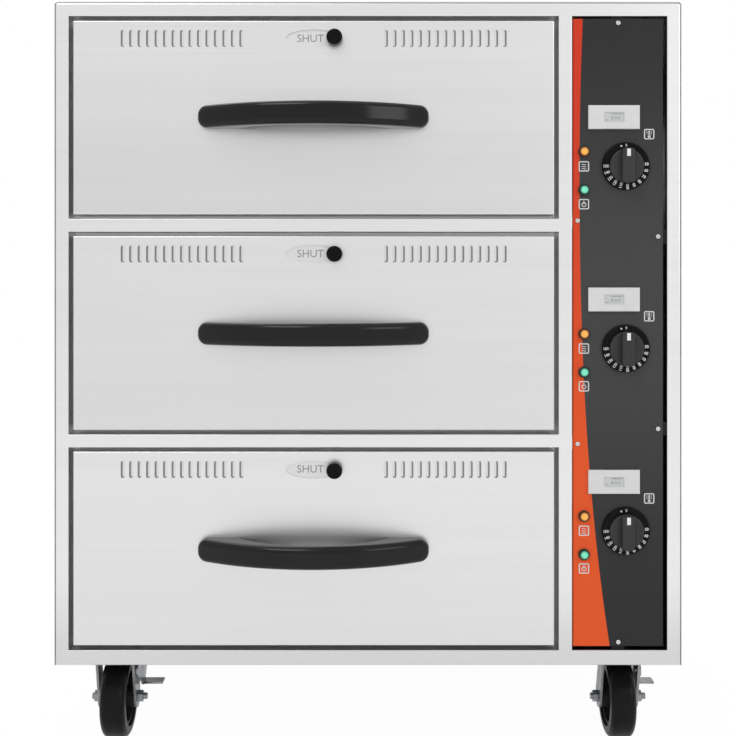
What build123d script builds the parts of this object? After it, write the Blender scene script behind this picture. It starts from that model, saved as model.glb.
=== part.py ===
from build123d import *
import os

# A free-standing food warmer: a stainless cabinet on four swivel casters, with three heated
# drawers one above another on the left and a column of controls on the right. Each drawer
# hangs on two telescopic slides, carries a lift-out pan, and has a sliding vent in its front.
# Millimetres. X to the right, Y to the back, Z up. The origin is on the floor, under the
# middle of the whole object's box.

# Cabinet body
body_width = 750.0
body_depth = 570.0
body_height = 793.0
shell_sheet = 1.0
corner_bend = 4.0           # outer radius of the two upper corners
rear_flange = 16.0          # inward fold that the back panel is screwed to
bottom_flange = 14.0        # inward fold along the lower edge of each side

# Front frame, from left to right and from top to bottom
left_stile = 17.0
centre_stile = 16.0
right_stile = 17.4
panel_opening_width = 113.6
top_rail = 17.0
middle_rail = 15.5
bottom_rail = 18.0
drawer_count = 3
frame_bend = 2.0            # outer radius of the fold from the front face to the sides
frame_edge = 12.0           # how far the outer folds of the frame run back
drawer_return = 34.0        # how far the folds round a drawer opening run back
panel_return = 12.0         # and those round the control panel's opening
opening_bend = 0.8          # radius on the edge of each opening

# Warm compartments
liner_sheet = 0.8
liner_flange = 4.0          # how far the liner's front flange laps outside an opening
ledge = 14.0                # how far a liner stands in from its opening, all round
insulation_back = 28.0
insulation_fit = 0.5
service_gap = 30.0          # wiring space between the insulation and the back panel
gasket_thickness = 4.0
gasket_width = 8.0
gasket_clearance = 0.3      # between the closed drawer front and the gasket

# Heating elements
element_diameter = 8.0
element_height = 14.0       # centre of the tube above the compartment floor
element_bend = 28.0
element_legs = 4
element_leg_pitch = 126.0
element_margin = 45.0       # from the bends to the ends of the compartment
element_tail = 12.0         # how far the terminals stand out of the insulation
element_fit = 0.3
element_saddle = 12.0       # side of each post that the tube lies on

# Chassis
chassis_sheet = 1.5
chassis_fit = 0.3
chassis_flange = 10.0
partition_sheet = 1.0

# Drawer fronts
door_gap = 5.0              # all round, to the frame
door_recess = 1.5           # face of the drawer front behind the face of the frame
door_sheet = 1.0
door_bend = 1.5
door_panel_sheet = 0.8
door_panel_bend = 1.3
door_panel_flange = 10.0

# Vent in each drawer front
slot_width = 4.8
slot_length = 20.3
slot_pitch = 10.14
first_slot = 86.5           # from the middle of the drawer front to the nearest slot
slots_per_group = 15
vent_drop = 21.5            # from the top of the drawer front to the middle of the slots
vent_steps = 4.5            # travel of the slider in slot pitches, from shut to open
window_length = 67.0
window_height = 21.4
slider_sheet = 1.0
slider_clearance = 0.4
slider_half_height = 13.5
slider_rim = 3.0            # metal left beside the outermost slots
guide_sheet = 1.0
guide_lip = 2.0
guide_end = 4.0             # from the ends of the guides to the sides of the drawer front
vent_knob_rest = 25.0       # knob to the right of the middle when the vent is shut
vent_knob_diameter = 19.0
vent_knob_height = 11.0
vent_knob_edge = 2.5
vent_knob_neck = 8.0
vent_knob_gap = 3.0         # from the drawer front to the back of the knob

# Bow handles
handle_length = 275.0
handle_height = 27.0
handle_projection = 55.0
handle_thickness = 14.0
handle_tip = 10.0           # thickness at the two ends
handle_foot = 47.5          # length of each foot
handle_end_radius = 11.5
handle_front_radius = 7.0
handle_back_radius = 3.0

# Telescopic slides
slide_height = 45.0
slide_thickness = 12.7
rail_sheet = 1.5
rail_clearance = 0.4
rail_end_gap = 20.2         # from the closed rails to the back of the compartment
rail_setback = 6.0          # from the front of the liner to the rails
slide_middle_height = 141.0  # middle of the slide above the compartment floor

# Pan carrier and pan
carrier_sheet = 1.5
carrier_end_gap = 40.5      # from the closed carrier to the back of the compartment
carrier_height = 50.0
carrier_ledge = 15.0
pan_sheet = 0.8
pan_depth = 140.0
pan_taper = 3.0             # degrees
pan_corner = 40.0
pan_floor_radius = 14.0
pan_rim_radius = 3.0
pan_fit = 1.8               # pan body to the carrier's opening
pan_rim_inset = 3.8         # pan rim inside the carrier's outer edges

# Control panel
panel_gap = 2.5             # above the panel
panel_gap_left = 1.2
panel_gap_right = 4.2
panel_gap_bottom = 4.0
panel_recess = 2.0
panel_sheet = 2.0
panel_edge = 1.5
panel_tab_sheet = 1.5
panel_tab_width = 16.0
panel_tab_reach = 12.0      # from a screw's edge of the panel to the end of its tab
panel_screw_inset = 5.5
panel_screw_inset_right = 6.5
panel_screw_diameter = 5.6
panel_screw_head = 1.8
panel_screw_shank = 3.0
panel_screw_length = 8.0
left_screw_drop_1 = 242.0   # from the top of the panel
left_screw_drop_2 = 509.0
right_screw_drop_1 = 261.0
right_screw_drop_2 = 491.0

# One group of controls for each drawer
knob_drop = 176.8           # from the top of the panel to the first knob
control_pitch = 218.0
knob_offset = 9.0           # to the right of the panel's middle
dial_diameter = 57.0
dial_height = 4.0
dial_edge = 1.5
knob_cap_diameter = 41.0
knob_cap_height = 5.0
knob_cap_edge = 2.0
knob_grip_width = 15.0
knob_grip_height = 9.0
knob_grip_edge = 3.0
knob_gap = 0.5              # from the dial to the back of the knob
spindle_diameter = 6.0
running_clearance = 0.05    # radial, between a turning piece and what it turns in
bush_diameter = 10.0
bush_fit = 0.3
bush_reach = 2.5            # how far the bush stands out of the panel, inside the dial
thermostat_width = 46.0
thermostat_height = 40.0
thermostat_depth = 32.0
thermostat_standoff = 6.0
spindle_seat = 14.0         # depth of the spindle in the thermostat
thermometer_width = 61.6
thermometer_height = 28.6
thermometer_rise = 58.5     # above the knob's axis
thermometer_offset = -14.2  # from the knob's axis
thermometer_bezel = 3.0
thermometer_edge = 1.0
thermometer_body_width = 52.0
thermometer_body_height = 23.0
thermometer_body_depth = 14.0
thermometer_fit = 0.3
screen_width = 24.0
screen_height = 12.0
screen_recess = 1.0
screen_sheet = 0.6
lamp_inset = 13.2           # from the panel's left edge to the lamps
amber_rise = 17.4           # above the knob's axis
green_fall = 28.4           # below it
lamp_bezel_diameter = 13.8
lamp_bezel_height = 2.4
lamp_lens_diameter = 10.4
lamp_lens_height = 4.2
lamp_lens_edge = 1.4
lamp_seat = 1.2             # depth of the lens in its bezel
lamp_body_diameter = 10.0
lamp_body_depth = 26.0
lamp_fit = 0.2

# Back panel
back_margin = 0.5
back_screw_inset = 8.0
back_screw_pitch = 180.0
back_screw_diameter = 8.0
back_screw_head = 2.2
back_screw_shank = 4.0
back_screw_length = 8.0
louvre_length = 90.0
louvre_width = 6.0
louvre_pitch = 16.0
louvre_count = 9
louvre_margin = 90.0        # from the sides and top of the back panel to the louvres

# Supply
gland_height = 70.0         # above the lower edge of the body
gland_inset = 80.0          # from the right side of the body
gland_bore = 10.0
gland_thread = 20.0
gland_fit = 0.2
gland_flats = 24.0
gland_hex = 6.0
gland_reach = 20.0          # how far the gland stands out of the back panel
gland_dome_edge = 4.0
gland_inside = 14.0
gland_nut = 5.0
gland_nut_flats = 26.0
terminal_width = 60.0
terminal_depth = 24.0
terminal_height = 28.0
terminal_step = 9.0
terminal_ways = 6
terminal_hole = 4.5
terminal_from_back = 50.0

# Casters
caster_height = 125.0       # floor to the top of the mounting plate
caster_inset_side = 56.0    # swivel axis in from the side of the body
caster_inset_end = 70.0     # swivel axis in from the front and the back of the body
wheel_diameter = 101.6
tyre_width = 32.0
tyre_thickness = 14.0
tyre_shoulder = 9.0
hub_boss_diameter = 26.0
hub_boss_width = 40.4
hub_web = 8.0
hub_rim = 6.0
hub_rim_width = 26.0
trail = 33.0                # from the swivel axis to the axle
plate_length = 95.0
plate_width = 70.0
plate_sheet = 3.0
plate_corner = 6.0
plate_bolt_length = 75.0    # spacing of the mounting bolts along Y
plate_bolt_width = 48.0
bolt_diameter = 8.0
bolt_flats = 13.0
bolt_head = 5.3
clinch_nut_diameter = 12.0
clinch_nut_height = 6.0
clinch_nut_fit = 0.5
swivel_diameter = 58.0
swivel_height = 9.5
swivel_clearance = 0.4
swivel_edge = 3.0
kingpin_diameter = 12.0
kingpin_head_diameter = 18.0
kingpin_head = 3.6
fork_sheet = 3.0
fork_gap = 42.8             # between the two legs
fork_crown_length = 48.0
leg_start = 4.0             # from the swivel axis back to the legs, at the crown
fork_eye_radius = 14.0
axle_diameter = 8.0
sleeve_diameter = 12.0
axle_left = 34.0            # ends of the axle from the middle of the wheel
axle_right = 36.0
nut_flats = 13.0
nut_height = 6.5

# Brake on each front caster, on the right of the wheel
brake_pivot_y = 22.0        # from the swivel axis
brake_pivot_z = 88.0        # from the floor
brake_pin_diameter = 6.0
brake_pin_head_diameter = 10.0
brake_pin_head = 1.6
brake_sheet = 2.5
brake_side_clearance = 0.4
brake_shoe_gap = 5.0        # from the tyre when the brake is off
brake_shoe_angle = 42.0     # of the shoe round the wheel, above the level
brake_shoe_width = 30.0
brake_shoe_length = 16.0
brake_shoe_thickness = 4.0
brake_arm_radius = 8.0
brake_tip_radius = 5.0
pedal_reach = 25.0
pedal_length = 18.0
pedal_height = 61.0         # above the floor
pedal_from_axis = 60.0      # along Y from the swivel axis

# Places that follow from the sizes
handle_reach = handle_projection - door_recess
front_y = handle_reach - (body_depth + handle_reach + gland_reach) / 2
back_y = front_y + body_depth
body_bottom = caster_height - shell_sheet
body_top = body_bottom + body_height
body_left = -body_width / 2
body_right = body_width / 2
return_end = front_y + drawer_return

opening_left = body_left + left_stile
panel_opening_right = body_right - right_stile
panel_opening_left = panel_opening_right - panel_opening_width
opening_right = panel_opening_left - centre_stile
opening_width = opening_right - opening_left
opening_height = (
    body_height - top_rail - bottom_rail - (drawer_count - 1) * middle_rail
) / drawer_count
drawer_x = (opening_left + opening_right) / 2
levels = range(drawer_count)

liner_half_width = opening_width / 2 - ledge
liner_height = opening_height - 2 * ledge
liner_back = back_y - shell_sheet - service_gap - insulation_back - liner_sheet
insulation_end = liner_back + liner_sheet + insulation_back

chassis_top = caster_height + chassis_sheet
chassis_left = body_left + 2 * shell_sheet + chassis_fit
chassis_right = body_right - 2 * shell_sheet - chassis_fit
partition_left = panel_opening_left - shell_sheet - partition_sheet

door_face = front_y + door_recess
door_back = return_end - gasket_thickness - gasket_clearance
door_half_width = opening_width / 2 - door_gap
vent_travel = vent_steps * slot_pitch
last_slot = first_slot + (slots_per_group - 1) * slot_pitch
slider_front = door_face + door_sheet + slider_clearance
slider_end = last_slot + slot_width / 2 + slider_rim

carrier_half_width = liner_half_width - slide_thickness
carrier_back = liner_back - carrier_end_gap
carrier_length = carrier_back - door_back
rail_front = return_end + rail_setback
rail_back = liner_back - rail_end_gap
rail_reach = slide_thickness - rail_sheet - rail_clearance

panel_left = panel_opening_left + panel_gap_left
panel_right = panel_opening_right - panel_gap_right
panel_top = body_top - top_rail - panel_gap
panel_bottom = body_bottom + bottom_rail + panel_gap_bottom
panel_face = front_y + panel_recess
panel_back = panel_face + panel_sheet
knob_x = (panel_left + panel_right) / 2 + knob_offset
lamp_x = panel_left + lamp_inset
thermometer_x = knob_x + thermometer_offset
thermostat_front = panel_back + thermostat_standoff

wheel_radius = wheel_diameter / 2
swivel_top = caster_height - plate_sheet - swivel_clearance
crown_top = swivel_top - swivel_height
crown_bottom = crown_top - fork_sheet
leg_inside = fork_gap / 2
leg_outside = leg_inside + fork_sheet


def opening_top(level):
    """Height of the upper edge of a drawer opening; level 0 is the top drawer."""
    return body_top - top_rail - level * (opening_height + middle_rail)


def floor_of(level):
    """Height of the floor inside a warm compartment."""
    return opening_top(level) - opening_height + ledge


def vent_height(level):
    """Height of the middle of the vent slots of a drawer front."""
    return opening_top(level) - door_gap - vent_drop


def slide_height_of(level):
    return floor_of(level) + slide_middle_height


def knob_height(level):
    return panel_top - knob_drop - level * control_pitch


def block(x, y, z):
    """A box from its low and high side along each axis."""
    sides = (x, y, z)
    size = [high - low for low, high in sides]
    middle = [(high + low) / 2 for low, high in sides]
    return Pos(*middle) * Box(*size)


def place_along(axis, span, at):
    """The middle of a bar along an axis, and the turn from Z to that axis."""
    turn = {"X": Rot(0, 90, 0), "Y": Rot(90, 0, 0), "Z": Rot(0, 0, 0)}[axis]
    place = list(at)
    place.insert("XYZ".index(axis), (span[0] + span[1]) / 2)
    return Pos(*place) * turn


def rod(axis, diameter, span, at):
    """A round bar along an axis. at holds its place on the other two axes, in X, Y, Z order."""
    return place_along(axis, span, at) * Cylinder(diameter / 2, span[1] - span[0])


def hex_rod(axis, flats, span, at):
    """A bar of hexagonal section along X, Y or Z."""
    section = RegularPolygon(flats / 2, 6, major_radius=False)
    bar = extrude(section, amount=(span[1] - span[0]) / 2, both=True)
    return place_along(axis, span, at) * bar


def plate(outline, y, thickness):
    """An outline drawn in X and Z, as a plate that runs back from y."""
    return extrude(Plane.XZ.offset(-y) * outline, amount=-thickness)


def area(x, z):
    """A rectangle in X and Z from its low and high sides."""
    return Pos((x[0] + x[1]) / 2, (z[0] + z[1]) / 2) * Rectangle(x[1] - x[0], z[1] - z[0])


def edges_at(solid, axis, place):
    return solid.edges().filter_by_position(axis, place - 0.01, place + 0.01)


def tray(outline_of, y, depth, sheet, bend):
    """A sheet whose edges are folded back. outline_of draws its outline, moved in by a value."""
    outer = plate(outline_of(0.0), y, depth)
    outer = fillet(edges_at(outer, Axis.Y, y), bend)
    inner = plate(outline_of(sheet), y + sheet, depth)
    inner = fillet(edges_at(inner, Axis.Y, y + sheet), bend - sheet)
    return outer - inner


def save(name, *solids):
    """Writes one node; several solids stay separate in it."""
    shape = solids[0] if len(solids) == 1 else Compound(children=list(solids))
    export_step(shape, f"parts/{name}.step")


# Cabinet shell and front frame

def body_outline(inset):
    """The body from the front, drawn in all round, with its two upper corners rounded."""
    outline = area(
        (body_left + inset, body_right - inset), (body_bottom + inset, body_top - inset)
    )
    corners = outline.vertices().group_by(Axis.Y)[-1]
    return fillet(corners, corner_bend - inset)


def cabinet_wrap():
    """Top and sides in one folded sheet, with a flange round the back and under the sides."""
    end = back_y - shell_sheet
    hollow = area(
        (body_left + shell_sheet, body_right - shell_sheet),
        (body_bottom - shell_sheet, body_top - shell_sheet),
    )
    corners = hollow.vertices().group_by(Axis.Y)[-1]
    hollow = fillet(corners, corner_bend - shell_sheet)
    wrap = plate(body_outline(0.0) - hollow, front_y, end - front_y)
    rear_hole = area(
        (body_left + rear_flange, body_right - rear_flange),
        (body_bottom - shell_sheet, body_top - rear_flange),
    )
    wrap += plate(body_outline(0.0) - rear_hole, end - shell_sheet, shell_sheet)
    start = front_y + frame_edge + chassis_fit
    for side in (-1, 1):
        edge = side * body_width / 2
        x = sorted((edge, edge - side * bottom_flange))
        wrap += block(x, (start, end), (body_bottom, body_bottom + shell_sheet))
    for x, z in back_screw_places():
        wrap -= rod("Y", back_screw_shank, (end - 2 * shell_sheet, end + shell_sheet), (x, z))
    return wrap


def frame_outline(inset):
    """The front frame inside the wrap; its lower edge is the lower edge of the body."""
    edge = shell_sheet + inset
    outline = area(
        (body_left + edge, body_right - edge), (body_bottom + inset, body_top - edge)
    )
    corners = outline.vertices().group_by(Axis.Y)[-1]
    return fillet(corners, corner_bend - edge)


def drawer_opening(level, outset):
    top = opening_top(level)
    return area(
        (opening_left - outset, opening_right + outset),
        (top - opening_height - outset, top + outset),
    )


def panel_opening(outset):
    return area(
        (panel_opening_left - outset, panel_opening_right + outset),
        (body_bottom + bottom_rail - outset, body_top - top_rail + outset),
    )


def panel_screw_places():
    """The six screws of the control panel, as X, Z and the edge that they are on."""
    middle = (panel_left + panel_right) / 2
    left = panel_left + panel_screw_inset
    right = panel_right - panel_screw_inset_right
    places = [(middle, panel_top - panel_screw_inset, "top")]
    places += [(middle, panel_bottom + panel_screw_inset, "bottom")]
    for drop in (left_screw_drop_1, left_screw_drop_2):
        places.append((left, panel_top - drop, "left"))
    for drop in (right_screw_drop_1, right_screw_drop_2):
        places.append((right, panel_top - drop, "right"))
    return places


def panel_tab(x, z, edge):
    """A tab folded in behind the control panel, for one of its screws."""
    half = panel_tab_width / 2
    xs = (x - half, x + half)
    zs = (z - half, z + half)
    if edge == "top":
        zs = (panel_top - panel_tab_reach, body_top - top_rail)
    elif edge == "bottom":
        zs = (body_bottom + bottom_rail, panel_bottom + panel_tab_reach)
    elif edge == "left":
        xs = (panel_opening_left, panel_left + panel_tab_reach)
    else:
        xs = (panel_right - panel_tab_reach - panel_screw_inset_right, panel_opening_right)
    y = (panel_back, panel_back + panel_tab_sheet)
    return block(xs, y, zs) - rod("Y", panel_screw_shank, y, (x, z))


def front_frame():
    frame = tray(frame_outline, front_y, frame_edge, shell_sheet, frame_bend)
    for level in levels:
        frame -= plate(drawer_opening(level, 0.0), front_y, frame_edge)
    frame -= plate(panel_opening(0.0), front_y, frame_edge)
    for level in levels:
        ring = drawer_opening(level, shell_sheet) - drawer_opening(level, 0.0)
        frame += plate(ring, front_y, drawer_return)
    frame += plate(panel_opening(shell_sheet) - panel_opening(0.0), front_y, panel_return)
    rims = edges_at(frame, Axis.Y, front_y).filter_by(
        lambda edge: abs(edge.center().X) < body_right - right_stile / 2
        and body_bottom + bottom_rail / 2 < edge.center().Z < body_top - top_rail / 2
    )
    frame = fillet(rims, opening_bend)
    for x, z, edge in panel_screw_places():
        frame += panel_tab(x, z, edge)
    return frame


# Back panel and supply

def back_screw_places():
    """Screws down both sides of the back panel and along its top, evenly spaced."""
    low = body_bottom + back_screw_inset + bottom_flange
    high = body_top - back_screw_inset
    rows = round((high - low) / back_screw_pitch)
    reach = body_right - back_screw_inset
    places = []
    for row in range(rows + 1):
        z = low + row * (high - low) / rows
        places += [(-reach, z), (reach, z)]
    columns = round(2 * reach / back_screw_pitch)
    places += [(-reach + n * 2 * reach / columns, high) for n in range(1, columns)]
    return places


gland_place = (body_right - gland_inset, body_bottom + gland_height)


def back_panel():
    front = back_y - shell_sheet
    panel = plate(body_outline(back_margin), front, shell_sheet)
    louvre = SlotOverall(louvre_length, louvre_width)
    reach = body_right - louvre_margin - louvre_length / 2
    top = body_top - louvre_margin
    slots = Sketch() + [
        Pos(side * reach, top - row * louvre_pitch) * louvre
        for row in range(louvre_count)
        for side in (-1, 1)
    ]
    panel -= plate(slots, front, shell_sheet)
    for place in back_screw_places():
        panel -= rod("Y", back_screw_shank, (front, back_y), place)
    return panel - rod("Y", gland_thread + 2 * gland_fit, (front, back_y), gland_place)


def case_screws():
    """Screws of the control panel and of the back panel."""
    screws = []
    for x, z, edge in panel_screw_places():
        head = rod("Y", panel_screw_diameter, (panel_face - panel_screw_head, panel_face), (x, z))
        head = fillet(edges_at(head, Axis.Y, panel_face - panel_screw_head), panel_screw_head / 2)
        shank = (panel_face, panel_face + panel_screw_length)
        screws.append(head + rod("Y", panel_screw_shank, shank, (x, z)))
    for place in back_screw_places():
        head = rod("Y", back_screw_diameter, (back_y, back_y + back_screw_head), place)
        head = fillet(edges_at(head, Axis.Y, back_y + back_screw_head), back_screw_head / 2)
        shank = (back_y - back_screw_length, back_y)
        screws.append(head + rod("Y", back_screw_shank, shank, place))
    return screws


def cord_gland():
    """The gland that the supply cord would come through, and its nut inside the panel."""
    inside = back_y - shell_sheet
    body = rod("Y", gland_thread, (inside - gland_inside, back_y), gland_place)
    body += hex_rod("Y", gland_flats, (back_y, back_y + gland_hex), gland_place)
    dome = rod("Y", gland_thread, (back_y + gland_hex, back_y + gland_reach), gland_place)
    dome = fillet(edges_at(dome, Axis.Y, back_y + gland_reach), gland_dome_edge)
    bore = rod("Y", gland_bore, (inside - gland_inside, back_y + gland_reach), gland_place)
    nut = hex_rod("Y", gland_nut_flats, (inside - gland_nut, inside), gland_place)
    nut -= rod("Y", gland_thread, (inside - gland_nut, inside), gland_place)
    return body + dome - bore, nut


def terminal_block():
    """A stepped block on the chassis, with a screw and a wire hole for each way."""
    x = (gland_place[0] - terminal_width / 2, gland_place[0] + terminal_width / 2)
    end = back_y - terminal_from_back
    y = (end - terminal_depth, end)
    top = chassis_top + terminal_height
    body = block(x, y, (chassis_top, top))
    body -= block(x, (y[0], y[0] + terminal_step), (top - terminal_step, top))
    body -= block(x, (y[1] - terminal_step, y[1]), (top - terminal_step, top))
    for way in range(terminal_ways):
        place = x[0] + (way + 0.5) * terminal_width / terminal_ways
        for at in (y[0] + terminal_step / 2, y[1] - terminal_step / 2):
            screw = (top - 2 * terminal_step, top - terminal_step)
            body -= rod("Z", terminal_hole, screw, (place, at))
    return body


# Chassis

def caster_places():
    """Name, X and Y of each swivel axis, and whether the caster has a brake."""
    x = body_right - caster_inset_side
    front = front_y + caster_inset_end
    back = back_y - caster_inset_end
    return [
        ("front_left", -x, front, True),
        ("front_right", x, front, True),
        ("back_left", -x, back, False),
        ("back_right", x, back, False),
    ]


def caster_bolt_places():
    return [
        (x + i * plate_bolt_width / 2, y + j * plate_bolt_length / 2)
        for name, x, y, brake in caster_places()
        for i in (-1, 1)
        for j in (-1, 1)
    ]


def base_pan():
    """A tray under the whole body that the casters bolt to, with the upright partition."""
    y = (front_y + frame_bend + chassis_fit, back_y - 2 * shell_sheet - chassis_fit)
    height = chassis_sheet + chassis_flange
    bottom = caster_height
    pan = block((chassis_left, chassis_right), y, (bottom, bottom + height))
    pan -= block(
        (chassis_left + chassis_sheet, chassis_right - chassis_sheet),
        (y[0] + chassis_sheet, y[1] - chassis_sheet),
        (chassis_top, bottom + height),
    )
    for place in caster_bolt_places():
        pan -= rod("Z", bolt_diameter, (bottom, chassis_top), place)
    return pan + block(
        (partition_left, partition_left + partition_sheet),
        (return_end, insulation_end),
        (chassis_top, body_top - shell_sheet - insulation_fit),
    )


# Warm compartments

def liner(level):
    """One compartment: a five-sided box with a front flange that laps the frame."""
    floor = floor_of(level)
    x = (drawer_x - liner_half_width, drawer_x + liner_half_width)
    z = (floor, floor + liner_height)
    sheet = liner_sheet
    box = block(
        (x[0] - sheet, x[1] + sheet),
        (return_end, liner_back + sheet),
        (z[0] - sheet, z[1] + sheet),
    )
    box += plate(drawer_opening(level, liner_flange), return_end, sheet)
    box -= block(x, (return_end, liner_back), z)
    for at in element_end_places(level):
        hole = (liner_back, liner_back + sheet)
        box -= rod("Y", element_diameter + 2 * element_fit, hole, at)
    return box


def gasket(level):
    """A flat seal on the front flange of a liner."""
    outer = drawer_opening(level, gasket_width - ledge)
    return plate(outer - drawer_opening(level, -ledge), return_end - gasket_thickness,
                 gasket_thickness)


def element_leg_places():
    half = (element_legs - 1) / 2
    return [drawer_x + (n - half) * element_leg_pitch for n in range(element_legs)]


def element_end_places(level):
    legs = element_leg_places()
    return [(x, floor_of(level) + element_height) for x in (legs[0], legs[-1])]


def heating_element(level):
    """A bent tube on the compartment floor, and the posts that it lies on."""
    z = floor_of(level) + element_height
    near = return_end + element_margin
    far = liner_back - element_margin
    end = insulation_end + element_tail
    ends = (near, far)
    points = []
    for n, x in enumerate(element_leg_places()):
        turns = ends if n % 2 else reversed(ends)
        points += [(x, y, z) for y in turns]
    points[0] = (points[0][0], end, z)
    points[-1] = (points[-1][0], end, z)
    path = FilletPolyline(*points, radius=element_bend)
    section = Plane(origin=points[0], z_dir=(0, -1, 0)) * Circle(element_diameter / 2)
    tube = sweep(section, path=path)
    half = element_saddle / 2
    posts = []
    for x in element_leg_places():
        post = block((x - half, x + half), (-half, half), (floor_of(level), z))
        posts.append(post - rod("Y", element_diameter, (-half, half), (x, z)))
    return [tube] + posts


def insulation():
    wall = liner_sheet
    body = block(
        (chassis_left + chassis_sheet, partition_left),
        (return_end + wall, insulation_end),
        (chassis_top, body_top - shell_sheet - insulation_fit),
    )
    for level in levels:
        floor = floor_of(level)
        body -= block(
            (drawer_x - liner_half_width - wall, drawer_x + liner_half_width + wall),
            (return_end, liner_back + wall),
            (floor - wall, floor + liner_height + wall),
        )
        for at in element_end_places(level):
            hole = (liner_back, insulation_end)
            body -= rod("Y", element_diameter + 2 * element_fit, hole, at)
    top = chassis_top + clinch_nut_height + clinch_nut_fit
    for place in caster_bolt_places():
        body -= rod("Z", clinch_nut_diameter + 2 * clinch_nut_fit, (chassis_top, top), place)
    return body


# Telescopic slides

def channel(side, level, web, tip, half_height):
    """A C rail. web and tip are distances from the compartment wall, both on its inner side."""
    wall = drawer_x + side * liner_half_width
    inward = -side
    z = slide_height_of(level)
    y = (rail_front, rail_back)
    toward = 1 if tip > web else -1
    back = web + toward * rail_sheet

    def strip(a, b, low, high):
        x = sorted((wall + inward * a, wall + inward * b))
        return block(x, y, (z + low, z + high))

    rail = strip(web, back, -half_height, half_height)
    rail += strip(web, tip, half_height - rail_sheet, half_height)
    return rail + strip(web, tip, -half_height, rail_sheet - half_height)


rail_step = rail_sheet + rail_clearance     # from one rail's web or flange to the next


def cabinet_rails():
    return [
        channel(side, level, 0.0, rail_reach, slide_height / 2)
        for level in levels
        for side in (-1, 1)
    ]


def middle_rails(level):
    half = slide_height / 2 - rail_step
    return [channel(side, level, rail_step, rail_reach, half) for side in (-1, 1)]


def drawer_runner(side, level):
    half = slide_height / 2 - 2 * rail_step
    return channel(side, level, slide_thickness, 2 * rail_step, half)


# Drawers

def door_outline(level, inset):
    return drawer_opening(level, -door_gap - inset)


def slot_places():
    """Slots of both groups, from the middle of the drawer front."""
    steps = [first_slot + n * slot_pitch for n in range(slots_per_group)]
    return [-x for x in reversed(steps)] + steps


def vent_slots(level, shift):
    slot = SlotOverall(slot_length, slot_width, rotation=90)
    return Sketch() + [
        Pos(drawer_x + x + shift, vent_height(level)) * slot for x in slot_places()
    ]


def front_skin(level):
    """The outer skin of a drawer front, with its vent slots, window and slider guides."""
    depth = door_back - door_face
    skin = tray(lambda inset: door_outline(level, inset), door_face, depth, door_sheet, door_bend)
    z = vent_height(level)
    window = Pos(drawer_x, z) * Ellipse(window_length / 2, window_height / 2)
    skin -= plate(vent_slots(level, 0.0) + window, door_face, door_sheet)
    back = door_face + door_sheet
    lip = slider_front + slider_sheet + slider_clearance
    half_length = door_half_width - door_sheet - guide_end
    x = (drawer_x - half_length, drawer_x + half_length)
    near = slider_half_height + slider_clearance
    for side in (-1, 1):
        wall = sorted((z + side * near, z + side * (near + guide_sheet)))
        skin += block(x, (back, lip + guide_sheet), wall)
        hook = sorted((z + side * (near - guide_lip), z + side * near))
        skin += block(x, (lip, lip + guide_sheet), hook)
    return skin


def inner_panel(level):
    """The rear sheet of a drawer front, with its edges folded forward inside the skin."""
    sheet = door_panel_sheet
    start = door_back - door_panel_flange
    outer = plate(door_outline(level, door_sheet), start, door_panel_flange)
    outer = fillet(edges_at(outer, Axis.Y, door_back), door_panel_bend)
    inner = plate(door_outline(level, door_sheet + sheet), start, door_panel_flange - sheet)
    inner = fillet(edges_at(inner, Axis.Y, door_back - sheet), door_panel_bend - sheet)
    return outer - inner


def vent_slider(level):
    """A slotted strip behind the skin. Shut, its slots stand half a pitch off the skin's."""
    z = vent_height(level)
    strip = area(
        (drawer_x - slider_end, drawer_x + slider_end + vent_travel),
        (z - slider_half_height, z + slider_half_height),
    )
    return plate(strip - vent_slots(level, vent_travel), slider_front, slider_sheet)


def vent_knob(level):
    at = (drawer_x + vent_knob_rest, vent_height(level))
    back = door_face - vent_knob_gap
    front = back - vent_knob_height
    cap = rod("Y", vent_knob_diameter, (front, back), at)
    cap = fillet(edges_at(cap, Axis.Y, front), vent_knob_edge)
    return cap + rod("Y", vent_knob_neck, (back, slider_front), at)


def handle(level):
    """A bow with two flat feet on the drawer front, rounded over its front."""
    half = handle_length / 2
    inner = half - handle_foot
    tip = -handle_tip
    outline = ThreePointArc((-half, tip), (0, -handle_projection), (half, tip))
    outline += Polyline((half, tip), (half, 0), (inner, 0))
    outline += ThreePointArc((inner, 0), (0, handle_thickness - handle_projection), (-inner, 0))
    outline += Polyline((-inner, 0), (-half, 0), (-half, tip))
    bow = extrude(make_face(outline), amount=handle_height / 2, both=True)
    front = RectangleRounded(handle_length, handle_height, handle_end_radius)
    bow &= extrude(Plane.XZ * front, amount=handle_projection)
    grip = bow.faces().sort_by(lambda face: face.center().Y)[0]
    bow = fillet(grip.edges(), handle_front_radius)
    hollow = bow.faces().filter_by(GeomType.CYLINDER).sort_by(
        lambda face: abs(face.center().X) - face.area
    )[0]
    long_edges = hollow.edges().filter_by(lambda edge: edge.length > handle_length / 2)
    bow = fillet(long_edges, handle_back_radius)
    return Pos(drawer_x, door_face, opening_top(level) - opening_height / 2) * bow


def carrier_top(level):
    return slide_height_of(level) + carrier_height / 2


def pan_carrier(level):
    """The frame that the pan hangs in, with the inner rail of each slide on its sides."""
    top = carrier_top(level)
    x = (drawer_x - carrier_half_width, drawer_x + carrier_half_width)
    y = (door_back, carrier_back)
    sheet = carrier_sheet
    frame = block(x, y, (top - carrier_height, top))
    frame -= block(
        (x[0] + sheet, x[1] - sheet),
        (y[0] + sheet, y[1] - sheet),
        (top - carrier_height, top - sheet),
    )
    frame -= block(
        (x[0] + carrier_ledge, x[1] - carrier_ledge),
        (y[0] + carrier_ledge, y[1] - carrier_ledge),
        (top - sheet, top),
    )
    return frame + drawer_runner(-1, level) + drawer_runner(1, level)


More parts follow.
